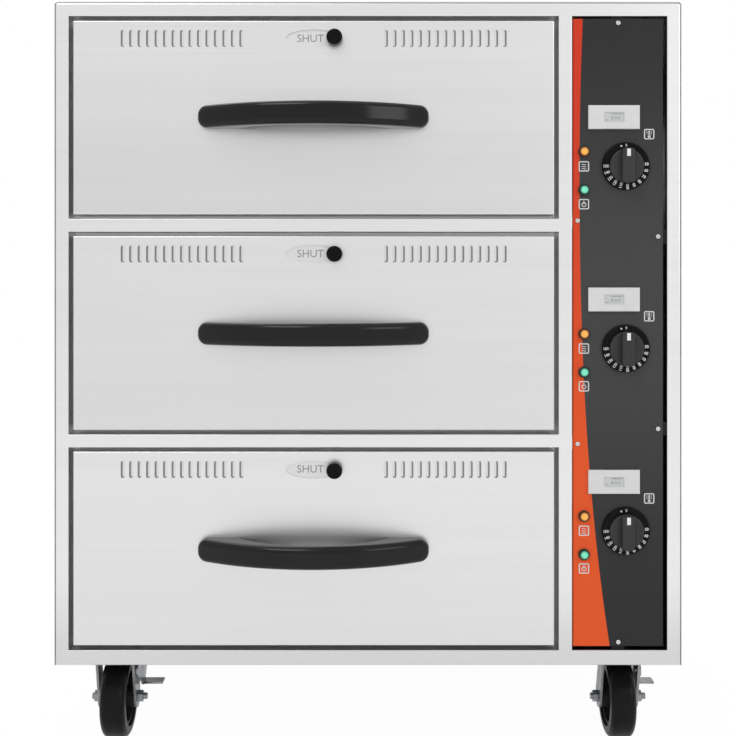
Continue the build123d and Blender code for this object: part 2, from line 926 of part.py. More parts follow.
def food_pan(level):
    """A deep-drawn pan that hangs by its rim."""
    base = carrier_top(level)
    middle = (drawer_x, (door_back + carrier_back) / 2)
    width = 2 * (carrier_half_width - carrier_ledge - pan_fit)
    length = carrier_length - 2 * (carrier_ledge + pan_fit)

    def shell(inset):
        outline = RectangleRounded(width - 2 * inset, length - 2 * inset, pan_corner - inset)
        body = extrude(outline, amount=-(pan_depth - inset), taper=pan_taper)
        floor = body.faces().sort_by(Axis.Z)[0]
        return fillet(floor.edges(), pan_floor_radius - inset)

    rim_width = 2 * (carrier_half_width - pan_rim_inset)
    rim_length = carrier_length - 2 * pan_rim_inset
    rim_corner = pan_corner + carrier_ledge + pan_fit - pan_rim_inset
    rim = extrude(RectangleRounded(rim_width, rim_length, rim_corner), amount=pan_sheet)
    mouth = RectangleRounded(
        width - 2 * pan_sheet, length - 2 * pan_sheet, pan_corner - pan_sheet
    )
    pan = shell(0.0) + rim - extrude(mouth, amount=pan_sheet) - shell(pan_sheet)
    return Pos(*middle, base) * pan


# Controls

def control_panel():
    """The dark face plate, with its cut-outs."""
    face = area((panel_left, panel_right), (panel_bottom, panel_top))
    panel = plate(face, panel_face, panel_sheet)
    panel = fillet(edges_at(panel, Axis.Y, panel_face), panel_edge)
    for level in levels:
        z = knob_height(level)
        span = (panel_face, panel_back)
        panel -= rod("Y", bush_diameter + 2 * bush_fit, span, (knob_x, z))
        for height in (z + amber_rise, z - green_fall):
            panel -= rod("Y", lamp_body_diameter + 2 * lamp_fit, span, (lamp_x, height))
        half_width = thermometer_body_width / 2 + thermometer_fit
        half_height = thermometer_body_height / 2 + thermometer_fit
        middle = z + thermometer_rise
        panel -= block(
            (thermometer_x - half_width, thermometer_x + half_width),
            span,
            (middle - half_height, middle + half_height),
        )
    for x, z, edge in panel_screw_places():
        panel -= rod("Y", panel_screw_shank, (panel_face, panel_back), (x, z))
    return panel


def thermostat(level):
    """A regulator behind the panel, whose bush comes through it."""
    at = (knob_x, knob_height(level))
    end = thermostat_front + thermostat_depth
    body = block(
        (at[0] - thermostat_width / 2, at[0] + thermostat_width / 2),
        (thermostat_front, end),
        (at[1] - thermostat_height / 2, at[1] + thermostat_height / 2),
    )
    body += rod("Y", bush_diameter, (panel_face - bush_reach, thermostat_front), at)
    bore = (panel_face - bush_reach, thermostat_front + spindle_seat)
    return body - rod("Y", spindle_diameter + 2 * running_clearance, bore, at)


def dial_ring(level):
    """The fixed scale round a knob."""
    at = (knob_x, knob_height(level))
    front = panel_face - dial_height
    ring = rod("Y", dial_diameter, (front, panel_face), at)
    ring = fillet(edges_at(ring, Axis.Y, front), dial_edge)
    return ring - rod("Y", bush_diameter + 2 * bush_fit, (front, panel_face), at)


def knob(level):
    """The knob with its spindle, pointing straight up at rest."""
    at = (knob_x, knob_height(level))
    back = panel_face - dial_height - knob_gap
    cap_front = back - knob_cap_height
    front = cap_front - knob_grip_height
    cap = rod("Y", knob_cap_diameter, (cap_front, back), at)
    grip = block(
        (at[0] - knob_grip_width / 2, at[0] + knob_grip_width / 2),
        (front, back),
        (at[1] - knob_cap_diameter, at[1] + knob_cap_diameter),
    )
    grip = fillet(edges_at(grip, Axis.Y, front), knob_grip_edge)
    grip &= rod("Y", knob_cap_diameter, (front, back), at)
    cap = fillet(edges_at(cap, Axis.Y, cap_front), knob_cap_edge)
    spindle = (back, thermostat_front + spindle_seat - knob_gap)
    return cap + grip + rod("Y", spindle_diameter, spindle, at)


def thermometer(level):
    """A display with its body behind the panel and a small screen in its face."""
    z = knob_height(level) + thermometer_rise
    front = panel_face - thermometer_bezel

    def centred(width, height, y):
        return block(
            (thermometer_x - width / 2, thermometer_x + width / 2),
            y,
            (z - height / 2, z + height / 2),
        )

    bezel = centred(thermometer_width, thermometer_height, (front, panel_face))
    bezel = fillet(edges_at(bezel, Axis.Y, front), thermometer_edge)
    end = panel_face + thermometer_body_depth
    bezel += centred(thermometer_body_width, thermometer_body_height, (panel_face, end))
    seat = front + screen_recess + screen_sheet
    bezel -= centred(screen_width, screen_height, (front, seat))
    return bezel, centred(screen_width, screen_height, (seat - screen_sheet, seat))


def lamp(level, rise):
    """A pilot lamp: its body with the bezel, and its lens."""
    at = (lamp_x, knob_height(level) + rise)
    front = panel_face - lamp_bezel_height
    body = rod("Y", lamp_bezel_diameter, (front, panel_face), at)
    body = fillet(edges_at(body, Axis.Y, front), lamp_bezel_height / 4)
    body += rod("Y", lamp_body_diameter, (panel_face, panel_face + lamp_body_depth), at)
    seat = front + lamp_seat
    body -= rod("Y", lamp_lens_diameter, (front, seat), at)
    lens = rod("Y", lamp_lens_diameter, (seat - lamp_lens_height, seat), at)
    return body, fillet(edges_at(lens, Axis.Y, seat - lamp_lens_height), lamp_lens_edge)


# Casters

def caster_mount(x, y):
    """Mounting plate with its kingpin, and the bolts and clinch nuts that hold it."""
    bottom = caster_height - plate_sheet
    outline = RectangleRounded(plate_width, plate_length, plate_corner)
    mount = Pos(x, y, bottom) * extrude(outline, amount=plate_sheet)
    pin_end = crown_bottom - running_clearance
    mount += rod("Z", kingpin_diameter, (pin_end, bottom), (x, y))
    mount += rod("Z", kingpin_head_diameter, (pin_end - kingpin_head, pin_end), (x, y))
    solids = []
    for i in (-1, 1):
        for j in (-1, 1):
            at = (x + i * plate_bolt_width / 2, y + j * plate_bolt_length / 2)
            mount -= rod("Z", bolt_diameter, (bottom, caster_height), at)
            bolt = hex_rod("Z", bolt_flats, (bottom - bolt_head, bottom), at)
            solids.append(bolt + rod("Z", bolt_diameter, (bottom, chassis_top), at))
            nut = (chassis_top, chassis_top + clinch_nut_height)
            solids.append(rod("Z", clinch_nut_diameter, nut, at))
    return [mount] + solids


def profile(outline, x, thickness):
    """An outline drawn in Y and Z, as a plate that runs to the right from x."""
    return extrude(Plane.YZ.offset(x) * outline, amount=thickness)


def hull_of(*sketches):
    edges = ShapeList()
    for sketch in sketches:
        edges += sketch.edges()
    return make_hull(edges)


def fork(x, y, brake):
    """Swivel housing and fork, bent from one plate with two legs."""
    axle_y = y + trail
    half = fork_crown_length / 2
    leg_top = area((y + leg_start, y + half), (crown_bottom, crown_top))
    eye = Pos(axle_y, wheel_radius) * Circle(fork_eye_radius)
    leg = hull_of(leg_top, eye)
    body = block((x - leg_outside, x + leg_outside), (y - half, y + half),
                 (crown_bottom, crown_top))
    body += profile(leg, x - leg_outside, fork_sheet)
    body += profile(leg, x + leg_inside, fork_sheet)
    housing = rod("Z", swivel_diameter, (crown_top, swivel_top), (x, y))
    body += fillet(edges_at(housing, Axis.Z, swivel_top), swivel_edge)
    pin = kingpin_diameter + 2 * running_clearance
    body -= rod("Z", pin, (crown_bottom, swivel_top), (x, y))
    body -= rod("X", axle_diameter, (x - leg_outside, x + leg_outside), (axle_y, wheel_radius))
    if brake:
        hole = (x + leg_inside, x + leg_outside)
        at = (y + brake_pivot_y, brake_pivot_z)
        body -= rod("X", brake_pin_diameter + 2 * running_clearance, hole, at)
    return body


def axle(x, y):
    """A threaded axle with a nut at each end, and the sleeve that the wheel turns on."""
    at = (y + trail, wheel_radius)
    pin = rod("X", axle_diameter, (x - axle_left, x + axle_right), at)
    solids = [pin]
    for low in (x - leg_outside - nut_height, x + leg_outside):
        nut = hex_rod("X", nut_flats, (low, low + nut_height), at)
        solids.append(nut - pin)
    solids.append(rod("X", sleeve_diameter, (x - leg_inside, x + leg_inside), at) - pin)
    return solids


def wheel(x, y):
    """A moulded hub and its tyre."""
    at = (y + trail, wheel_radius)

    def disc(diameter, width):
        return rod("X", diameter, (x - width / 2, x + width / 2), at)

    inner = wheel_diameter - 2 * tyre_thickness
    tyre = disc(wheel_diameter, tyre_width)
    rims = edges_at(tyre, Axis.X, x - tyre_width / 2) + edges_at(tyre, Axis.X, x + tyre_width / 2)
    tyre = fillet(rims, tyre_shoulder) - disc(inner, tyre_width)
    hub = disc(inner, hub_rim_width) - disc(inner - 2 * hub_rim, hub_rim_width)
    hub += disc(inner - 2 * hub_rim, hub_web)
    hub += disc(hub_boss_diameter, hub_boss_width)
    return hub - disc(sleeve_diameter + 2 * running_clearance, hub_boss_width), tyre


def brake_lever(x, y):
    """A side arm with a pedal and a shoe, turning on a pin through the right leg."""
    pivot = (y + brake_pivot_y, brake_pivot_z)
    shoe_radius = wheel_radius + brake_shoe_gap + brake_shoe_thickness / 2
    shoe = Rot(0, 0, brake_shoe_angle) * Pos(shoe_radius, 0) * Rectangle(
        brake_shoe_thickness, brake_shoe_length
    )
    shoe = Pos(y + trail, wheel_radius) * shoe
    pedal_y = y + pedal_from_axis
    start = x + leg_outside + brake_side_clearance
    tip = Pos(pedal_y, pedal_height) * Circle(brake_tip_radius)
    arm = hull_of(Pos(*pivot) * Circle(brake_arm_radius), shoe, tip)
    lever = profile(arm, start, brake_sheet)
    low = x - brake_shoe_width / 2
    lever += profile(shoe, low, start - low)
    lever += block(
        (start, start + brake_sheet + pedal_reach),
        (pedal_y - pedal_length / 2, pedal_y + pedal_length / 2),
        (pedal_height - brake_sheet / 2, pedal_height + brake_sheet / 2),
    )
    head = x + leg_inside - running_clearance
    lever += rod("X", brake_pin_diameter, (head, start), pivot)
    return lever + rod("X", brake_pin_head_diameter, (head - brake_pin_head, head), pivot)


os.makedirs("parts", exist_ok=True)

save("cabinet_wrap", cabinet_wrap())
save("front_frame", front_frame())
save("back_panel", back_panel())
save("base_pan", base_pan())
save("case_screws", *case_screws())
save("compartment_liners", *[liner(level) for level in levels])
save("gaskets", *[gasket(level) for level in levels])
save("insulation", insulation())
save("heating_elements", *[solid for level in levels for solid in heating_element(level)])
save("cabinet_rails", *cabinet_rails())
save("control_panel", control_panel())
save("thermostats", *[thermostat(level) for level in levels])
save("dial_rings", *[dial_ring(level) for level in levels])
save("thermometers", *[solid for level in levels for solid in thermometer(level)])
save("amber_lamps", *[solid for level in levels for solid in lamp(level, amber_rise)])
save("green_lamps", *[solid for level in levels for solid in lamp(level, -green_fall)])
save("cord_gland", *cord_gland())
save("terminal_block", terminal_block())

mounts = []
for name, x, y, brake in caster_places():
    mounts += caster_mount(x, y)
    save(f"fork_{name}", fork(x, y, brake))
    save(f"axle_{name}", *axle(x, y))
    save(f"wheel_{name}", *wheel(x, y))
    if brake:
        save(f"brake_{name}", brake_lever(x, y))
save("caster_mounts", *mounts)

for level in levels:
    number = level + 1
    save(f"front_skin_{number}", front_skin(level))
    save(f"inner_panel_{number}", inner_panel(level))
    save(f"vent_slider_{number}", vent_slider(level))
    save(f"vent_knob_{number}", vent_knob(level))
    save(f"handle_{number}", handle(level))
    save(f"pan_carrier_{number}", pan_carrier(level))
    save(f"food_pan_{number}", food_pan(level))
    save(f"middle_rails_{number}", *middle_rails(level))
    save(f"knob_{number}", knob(level))
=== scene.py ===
from math import cos, pi, radians, sin

import bpy
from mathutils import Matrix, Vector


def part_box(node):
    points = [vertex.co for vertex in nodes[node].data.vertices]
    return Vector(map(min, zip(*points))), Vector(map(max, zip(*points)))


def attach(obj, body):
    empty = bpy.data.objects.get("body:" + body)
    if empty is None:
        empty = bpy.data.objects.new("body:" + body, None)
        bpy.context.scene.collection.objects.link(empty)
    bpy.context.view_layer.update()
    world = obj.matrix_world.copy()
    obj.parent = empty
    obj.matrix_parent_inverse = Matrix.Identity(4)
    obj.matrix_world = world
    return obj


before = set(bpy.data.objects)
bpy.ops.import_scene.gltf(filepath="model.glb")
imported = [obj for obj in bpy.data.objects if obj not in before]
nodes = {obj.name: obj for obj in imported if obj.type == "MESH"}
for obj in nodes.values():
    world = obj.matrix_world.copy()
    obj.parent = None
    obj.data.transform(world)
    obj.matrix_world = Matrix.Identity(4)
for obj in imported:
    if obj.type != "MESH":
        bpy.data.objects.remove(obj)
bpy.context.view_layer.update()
MM = 0.001

# Camera: level with the lower edge of the upper drawer and 1.4 m from the front face. The
# optical axis meets the picture above its middle, so the view is shifted down.
PICTURE = 736
AXIS_ROW = 275
CAMERA_DISTANCE = 1.4
CAMERA_HEIGHT = 0.5905
FOCAL_LENGTH = 57.3
front_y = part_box("front_frame")[0][1]
bpy.ops.object.camera_add(
    location=(0, front_y - CAMERA_DISTANCE, CAMERA_HEIGHT), rotation=(pi / 2, 0, 0)
)
camera = bpy.context.object
camera.data.lens = FOCAL_LENGTH
camera.data.shift_y = (AXIS_ROW - PICTURE / 2) / PICTURE
bpy.context.scene.camera = camera
bpy.context.scene.view_settings.view_transform = "Standard"


# Shader tools, first used by the floor. A Level is a number that changes over a surface, and
# its operators add Math nodes. A Finish is one material built from a piece's own coordinates.
class Level:
    def __init__(self, finish, socket):
        self.finish = finish
        self.socket = socket

    def math(self, operation, *others):
        inputs = dict(enumerate((self, *others)))
        return self.finish.node("ShaderNodeMath", {"operation": operation}, inputs)

    def __add__(self, other):
        return self.math("ADD", other)

    def __sub__(self, other):
        return self.math("SUBTRACT", other)

    def __mul__(self, other):
        return self.math("MULTIPLY", other)

    def __rsub__(self, other):
        return self * -1.0 + other

    __radd__ = __add__
    __rmul__ = __mul__

    def between(self, low, high):
        """0 below low and 1 above high, with a soft step."""
        step = {"interpolation_type": "SMOOTHSTEP"}
        return self.finish.node("ShaderNodeMapRange", step, {"Value": self, 1: low, 2: high})


class Finish:
    def __init__(self, name, owner=None):
        if owner is None:
            owner = bpy.data.materials.new(name)
        owner.use_nodes = True
        self.owner = owner
        self.tree = owner.node_tree
        self.shader = self.tree.nodes.get("Principled BSDF")
        where = self.tree.nodes.new("ShaderNodeTexCoord")
        self.place = Level(self, where.outputs["Object"])
        self.facing = Level(self, where.outputs["Normal"])

    def feed(self, socket, value):
        if isinstance(value, Level):
            self.tree.links.new(value.socket, socket)
        elif socket.type == "RGBA" and len(value) == 3:
            socket.default_value = (*value, 1)
        else:
            socket.default_value = value

    def node(self, kind, settings, inputs, output=0):
        made = self.tree.nodes.new(kind)
        for name, value in settings.items():
            setattr(made, name, value)
        for key, value in inputs.items():
            self.feed(made.inputs[key], value)
        return Level(self, made.outputs[output])

    def set(self, **values):
        """Sets the shader's sockets; an underscore stands for a space."""
        for name, value in values.items():
            self.feed(self.shader.inputs[name.replace("_", " ")], value)

    def split(self, vector, axis):
        return self.node("ShaderNodeSeparateXYZ", {}, {0: vector}, "XYZ".index(axis))

    def stretch(self, x, y, z):
        """The surface's coordinates, multiplied axis by axis."""
        return self.node("ShaderNodeCombineXYZ", {}, {
            0: self.split(self.place, "X") * x,
            1: self.split(self.place, "Y") * y,
            2: self.split(self.place, "Z") * z,
        })

    def noise(self, vector, scale, detail=2.0, roughness=0.5):
        inputs = {"Vector": vector, "Scale": scale, "Detail": detail, "Roughness": roughness}
        return self.node("ShaderNodeTexNoise", {}, inputs)

    def mix(self, factor, a, b):
        return self.node("ShaderNodeMix", {"data_type": "RGBA"}, {0: factor, 6: a, 7: b}, 2)

    def tint(self, share, colour):
        """Multiplies the base colour by another colour, as far as share says."""
        base = Level(self, self.shader.inputs["Base Color"].links[0].from_socket)
        multiply = {"data_type": "RGBA", "blend_type": "MULTIPLY"}
        mixed = self.node("ShaderNodeMix", multiply, {0: share, 6: base, 7: colour}, 2)
        self.set(Base_Color=mixed)

    def bump(self, height, distance, strength=1.0):
        inputs = {"Height": height, "Distance": distance, "Strength": strength}
        self.set(Normal=self.node("ShaderNodeBump", {}, inputs))


# Floor and studio: a plain white floor that runs to the horizon, a white world, and soft
# lamps above and to both sides. The floor shows mostly its glow, which leaves a faint shadow.
FLOOR_SIZE = 60
FLOOR_GLOW = 1.02
GLOW_SHARE = 0.94
GLOW_IN_REFLECTIONS = 0.5
WALL_LOW = -0.35
WALL_HIGH = 0.75
bpy.ops.mesh.primitive_plane_add(size=FLOOR_SIZE, location=(0, 0, 0))
floor = bpy.context.object
floor.name = "floor"
floor_finish = Finish("studio_floor")
floor_finish.set(Base_Color=(0.86, 0.86, 0.86), Roughness=0.9, Specular_IOR_Level=0.1)
tree = floor_finish.tree
rays = tree.nodes.new("ShaderNodeLightPath")
seen = Level(floor_finish, rays.outputs["Is Camera Ray"])
seen = seen.math("MAXIMUM", Level(floor_finish, rays.outputs["Is Transmission Ray"]))
mirrored = Level(floor_finish, rays.outputs["Is Glossy Ray"]) * GLOW_IN_REFLECTIONS
share = seen.math("MAXIMUM", mirrored) * GLOW_SHARE
glow = floor_finish.node("ShaderNodeEmission", {}, {"Color": (1, 1, 1), "Strength": FLOOR_GLOW})
lit = Level(floor_finish, floor_finish.shader.outputs[0])
joined = floor_finish.node("ShaderNodeMixShader", {}, {0: share, 1: lit, 2: glow})
tree.links.new(joined.socket, tree.nodes["Material Output"].inputs["Surface"])
floor.data.materials.append(floor_finish.owner)

world = bpy.data.worlds.new("studio")
bpy.context.scene.world = world
sky = Finish("studio", world)
background = world.node_tree.nodes["Background"]
rays = world.node_tree.nodes.new("ShaderNodeLightPath")
seen = Level(sky, rays.outputs["Is Camera Ray"])
seen = seen.math("MAXIMUM", Level(sky, rays.outputs["Is Transmission Ray"]))
direction = Level(sky, world.node_tree.nodes["Texture Coordinate"].outputs["Generated"])
height = sky.split(direction, "Z").between(WALL_LOW, WALL_HIGH)
room = sky.mix(height, (0.75, 0.75, 0.755), (0.80, 0.80, 0.80))
sky.feed(background.inputs["Color"], sky.mix(seen, room, (1, 1, 1)))
background.inputs["Strength"].default_value = 1.0

for name, place, degrees, size, power in (
    ("key_lamp", (-0.9, -1.8, 3.0), (38, 0, -24), 1.2, 17),
    ("fill_lamp", (2.2, -2.4, 1.5), (66, 0, 42), 1.4, 12),
    ("top_lamp", (0, 0.2, 3.0), (0, 0, 0), 2.4, 6),
    ("rear_lamp", (-1.2, 3.0, 2.0), (60, 0, 202), 2.0, 10),
):
    turn = [radians(angle) for angle in degrees]
    bpy.ops.object.light_add(type="AREA", location=place, rotation=turn)
    lamp = bpy.context.object
    lamp.name = name
    lamp.data.size = size
    lamp.data.energy = power


# Stainless sheet: the wrap, the front frame and the skins of the drawer fronts. Folded from
# 1 mm stainless with a horizontal brushed grain that runs round the cabinet. The grain is long
# along the brushing and fine across it, which these scales of its noise give.
GRAIN_ALONG = 2.2
GRAIN_ACROSS = 520
GRAIN_ACROSS_TOP = 420
GRAIN_ON_SIDES = 1.5
BAND_ALONG = 1.2
BAND_ACROSS = 46
GRAIN_DEPTH = 0.03 * MM


def paint(material, *names):
    for name in names:
        slots = nodes[name].data.materials
        slots.clear()
        slots.append(material)


def brushed(name, light, dark, roughness):
    """Brushed sheet: grain along X on the front and top, along Y on the sides."""
    steel = Finish(name)
    upward = steel.split(steel.facing, "Z").math("ABSOLUTE").between(0.5, 0.9)
    grain = steel.stretch(GRAIN_ALONG, GRAIN_ON_SIDES + upward * GRAIN_ACROSS_TOP, GRAIN_ACROSS)
    lines = steel.noise(grain, 1.0, 3.0, 0.6)
    bands = steel.noise(steel.stretch(BAND_ALONG, BAND_ALONG, BAND_ACROSS), 1.0, 2.0)
    cloud = steel.noise(steel.place, 3.0, 2.0)
    tone = lines.between(0.2, 0.8) * 0.40 + bands.between(0.3, 0.7) * 0.25 + cloud * 0.35
    steel.set(
        Base_Color=steel.mix(tone, dark, light),
        Metallic=1.0,
        Roughness=roughness + lines * 0.10,
    )
    steel.bump(lines, GRAIN_DEPTH, 0.5)
    return steel


shell_steel = brushed("shell_steel", (0.78, 0.78, 0.78), (0.70, 0.70, 0.70), 0.30)
paint(shell_steel.owner, "cabinet_wrap")

# Front frame: the same sheet, a little lighter. Its tabs behind the control panel lie in the
# dark and get near-black painted shade, and painted shade darkens the face over its lowest part.
TAB_MARGIN = 0.6 * MM
TAB_SHADE = (0.03, 0.03, 0.03)
FRAME_SHADE_HEIGHT = 120 * MM
FRAME_SHADE = (0.82, 0.82, 0.82)
frame_steel = brushed("frame_steel", (0.92, 0.92, 0.92), (0.86, 0.86, 0.86), 0.30)
low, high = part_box("control_panel")
behind = frame_steel.split(frame_steel.place, "Y").between(high[1] - TAB_MARGIN, high[1])
beside = frame_steel.split(frame_steel.place, "X").between(low[0] - TAB_MARGIN, low[0])
frame_steel.tint(behind * beside, TAB_SHADE)
# Painted shade: the face darkens over its lowest 120 mm, towards the bottom.
low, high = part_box("front_frame")
rise = frame_steel.split(frame_steel.place, "Z").between(low[2], low[2] + FRAME_SHADE_HEIGHT)
frame_steel.tint(1.0 - rise, FRAME_SHADE)
paint(frame_steel.owner, "front_frame")

# Drawer fronts: one outer skin each, folded from the same sheet and hung on the pan carrier.
# Each has painted shade that darkens it a little towards its lower edge.
SKIN_SHADE_START = 20 * MM
SKIN_SHADE = (0.93, 0.93, 0.93)
for number in (1, 2, 3):
    skin = f"front_skin_{number}"
    low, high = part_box(skin)
    skin_steel = brushed(f"skin_steel_{number}", (0.89, 0.89, 0.89), (0.83, 0.83, 0.83), 0.30)
    rise = skin_steel.split(skin_steel.place, "Z").between(low[2] - SKIN_SHADE_START, high[2])
    skin_steel.tint(1.0 - rise, SKIN_SHADE)
    paint(skin_steel.owner, skin)

# Inner stainless: the compartment liners, the backs of the drawer fronts and the pan carriers.
# Folded and spot-welded from sheet in a plain mill finish, greyer than the outside.
inner_steel = brushed("inner_steel", (0.74, 0.74, 0.73), (0.60, 0.60, 0.60), 0.34)
paint(inner_steel.owner, "compartment_liners")
for number in (1, 2, 3):
    paint(inner_steel.owner, f"inner_panel_{number}", f"pan_carrier_{number}")

# Vent sliders: the strip behind each skin is duller and darker, painted shade for the slots, with
# painted shadow in the outer and lower part of the places behind the slots when the vent is shut.
SLOT_PITCH = 10.14 * MM
SLOT_WIDTH = 4.8 * MM
FIRST_SLOT = 86.5 * MM
SLOT_FOOT = 8.4 * MM
SLOT_PAINTED_SHADOW = (0.36, 0.36, 0.36)
SLOT_SHADOW_EDGE = 0.4 * MM
for number in (1, 2, 3):
    slider_steel = brushed(f"slider_steel_{number}", (0.84, 0.84, 0.84), (0.76, 0.76, 0.76), 0.4)
    low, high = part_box(f"front_skin_{number}")
    off_middle = slider_steel.split(slider_steel.place, "X") - (low[0] + high[0]) / 2
    off_slot = off_middle.math("ABSOLUTE") - FIRST_SLOT
    phase = off_slot.math("WRAP", SLOT_PITCH / 2, -SLOT_PITCH / 2)
    outer = phase.between(0.0, SLOT_WIDTH * 0.12)
    low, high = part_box(f"vent_slider_{number}")
    below = (low[2] + high[2]) / 2 - SLOT_FOOT - slider_steel.split(slider_steel.place, "Z")
    foot = below.between(0.0, SLOT_SHADOW_EDGE)
    in_rows = off_slot.between(-SLOT_WIDTH, -SLOT_WIDTH * 0.6)
    slider_steel.tint(outer.math("MAXIMUM", foot) * in_rows, SLOT_PAINTED_SHADOW)
    paint(slider_steel.owner, f"vent_slider_{number}")

# Food pans: deep-drawn stainless, loose in their carriers and hung by the rim, with a soft
# satin finish and faint draw marks down the walls.
pan_steel = Finish("pan_steel")
swirl = pan_steel.noise(pan_steel.place, 14.0, 3.0)
scuff = pan_steel.noise(pan_steel.stretch(60, 60, 6), 1.0, 3.0)
pan_steel.set(
    Base_Color=pan_steel.mix(swirl, (0.66, 0.66, 0.65), (0.80, 0.80, 0.79)),
    Metallic=1.0,
    Roughness=0.22 + scuff * 0.16,
)
pan_steel.bump(scuff, 0.00002, 0.4)
paint(pan_steel.owner, "food_pan_1", "food_pan_2", "food_pan_3")

# Zinc-coated sheet: the back panel, screwed on, and the base pan that closes the cabinet from
# below. Folded steel with the spangle of hot-dip zinc.
zinc_sheet = Finish("zinc_sheet")
cells = {"Vector": zinc_sheet.place, "Scale": 90.0}
flake = zinc_sheet.split(zinc_sheet.node("ShaderNodeTexVoronoi", {}, cells, 1), "X")
stain = zinc_sheet.noise(zinc_sheet.place, 5.0, 4.0)
zinc_sheet.set(
    Base_Color=zinc_sheet.mix(flake * 0.6 + stain * 0.4, (0.50, 0.52, 0.53), (0.70, 0.72, 0.73)),
    Metallic=0.9,
    Roughness=0.34 + flake * 0.2,
)
paint(zinc_sheet.owner, "back_panel", "base_pan")


# Bright zinc and plated steel: casters, rails and screws. Plated parts, with fine handling
# scratches and a slight blue cast.
def plated(name, light, dark, roughness):
    metal = Finish(name)
    scratch = metal.noise(metal.stretch(300, 40, 300), 1.0, 3.0)
    cloud = metal.noise(metal.place, 40.0, 3.0)
    metal.set(
        Base_Color=metal.mix(cloud, dark, light),
        Metallic=1.0,
        Roughness=roughness + scratch * 0.18,
    )
    metal.bump(scratch, 0.00002, 0.4)
    return metal


# Casters: near-black to bright cloud in the plating, painted reflection of dark surroundings.
caster_zinc = plated("caster_zinc", (0.52, 0.53, 0.55), (0.07, 0.07, 0.075), 0.20)
rail_zinc = plated("rail_zinc", (0.62, 0.64, 0.66), (0.46, 0.48, 0.50), 0.30)
screw_steel = plated("screw_steel", (0.80, 0.80, 0.80), (0.60, 0.60, 0.60), 0.18)
paint(rail_zinc.owner, "cabinet_rails", "middle_rails_1", "middle_rails_2", "middle_rails_3")
paint(screw_steel.owner, "case_screws")
casters = ("front_left", "front_right", "back_left", "back_right")
paint(caster_zinc.owner, "caster_mounts", "brake_front_left", "brake_front_right")
for corner in casters:
    paint(caster_zinc.owner, f"fork_{corner}", f"axle_{corner}")


# Moulded plastics and rubber: handles, knobs, dials, wheels, gland and seals. A fine moulded
# texture, with gloss that differs from piece to piece.
def moulded(name, colour, lighter, roughness, texture, shine=0.5):
    plastic = Finish(name)
    speckle = plastic.noise(plastic.place, texture, 3.0)
    wear = plastic.noise(plastic.place, 22.0, 3.0)
    plastic.set(
        Base_Color=plastic.mix(wear.between(0.35, 0.8), colour, lighter),
        Roughness=roughness + wear * 0.10,
        Specular_IOR_Level=shine,
    )
    plastic.bump(speckle, 0.00002, 0.25)
    return plastic


jet = (0.002, 0.002, 0.002)
worn_jet = (0.004, 0.004, 0.004)
handle_black = moulded("handle_black", jet, worn_jet, 0.12, 900, 0.32)
knob_black = moulded("knob_black", (0.028, 0.028, 0.029), (0.040, 0.040, 0.041), 0.38, 1500, 0.3)
dial_black = moulded("dial_black", jet, worn_jet, 0.24, 900, 0.12)
seal_rubber = moulded("seal_rubber", (0.03, 0.03, 0.03), (0.06, 0.06, 0.06), 0.7, 700)
gland_nylon = moulded("gland_nylon", (0.012, 0.012, 0.012), (0.02, 0.02, 0.02), 0.5, 1200)
case_plastic = moulded("case_plastic", (0.62, 0.60, 0.55), (0.70, 0.68, 0.62), 0.5, 1200)
wool = moulded("mineral_wool", (0.46, 0.40, 0.22), (0.72, 0.66, 0.44), 0.9, 260)
sheath = moulded("element_sheath", (0.10, 0.095, 0.09), (0.22, 0.20, 0.18), 0.45, 500)
paint(handle_black.owner, "handle_1", "handle_2", "handle_3")
paint(dial_black.owner, "dial_rings", "vent_knob_1", "vent_knob_2", "vent_knob_3")
paint(knob_black.owner, "knob_1", "knob_2", "knob_3")
paint(seal_rubber.owner, "gaskets")
paint(gland_nylon.owner, "cord_gland", "terminal_block")
paint(case_plastic.owner, "thermostats")
paint(wool.owner, "insulation")
paint(sheath.owner, "heating_elements")

# Wheels: a black rubber tyre on a dark grey moulded hub. The tyre starts 14 mm inside the
# rolling surface, so the two are told apart by their distance from the axle.
TYRE_INNER = 36.8 * MM
TYRE_SEAM = 0.2 * MM
for corner in casters:
    low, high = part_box(f"wheel_{corner}")
    rubber = Finish(f"wheel_rubber_{corner}")
    across = rubber.split(rubber.place, "Y") - (low[1] + high[1]) / 2
    up = rubber.split(rubber.place, "Z") - (low[2] + high[2]) / 2
    reach = (across * across + up * up).math("SQRT")
    tyre = reach.between(TYRE_INNER - TYRE_SEAM, TYRE_INNER + TYRE_SEAM)
    dust = rubber.noise(rubber.place, 60.0, 4.0)
    hub_tone = rubber.mix(dust, (0.020, 0.020, 0.021), (0.035, 0.035, 0.036))
    tyre_tone = rubber.mix(dust, (0.004, 0.004, 0.004), (0.009, 0.009, 0.009))
    rubber.set(
        Base_Color=rubber.mix(tyre, hub_tone, tyre_tone),
        Roughness=0.40 - tyre * 0.16 + dust * 0.10,
        Specular_IOR_Level=0.14,
    )
    rubber.bump(rubber.noise(rubber.place, 800.0, 2.0), 0.00003, 0.3)
    paint(rubber.owner, f"wheel_{corner}")

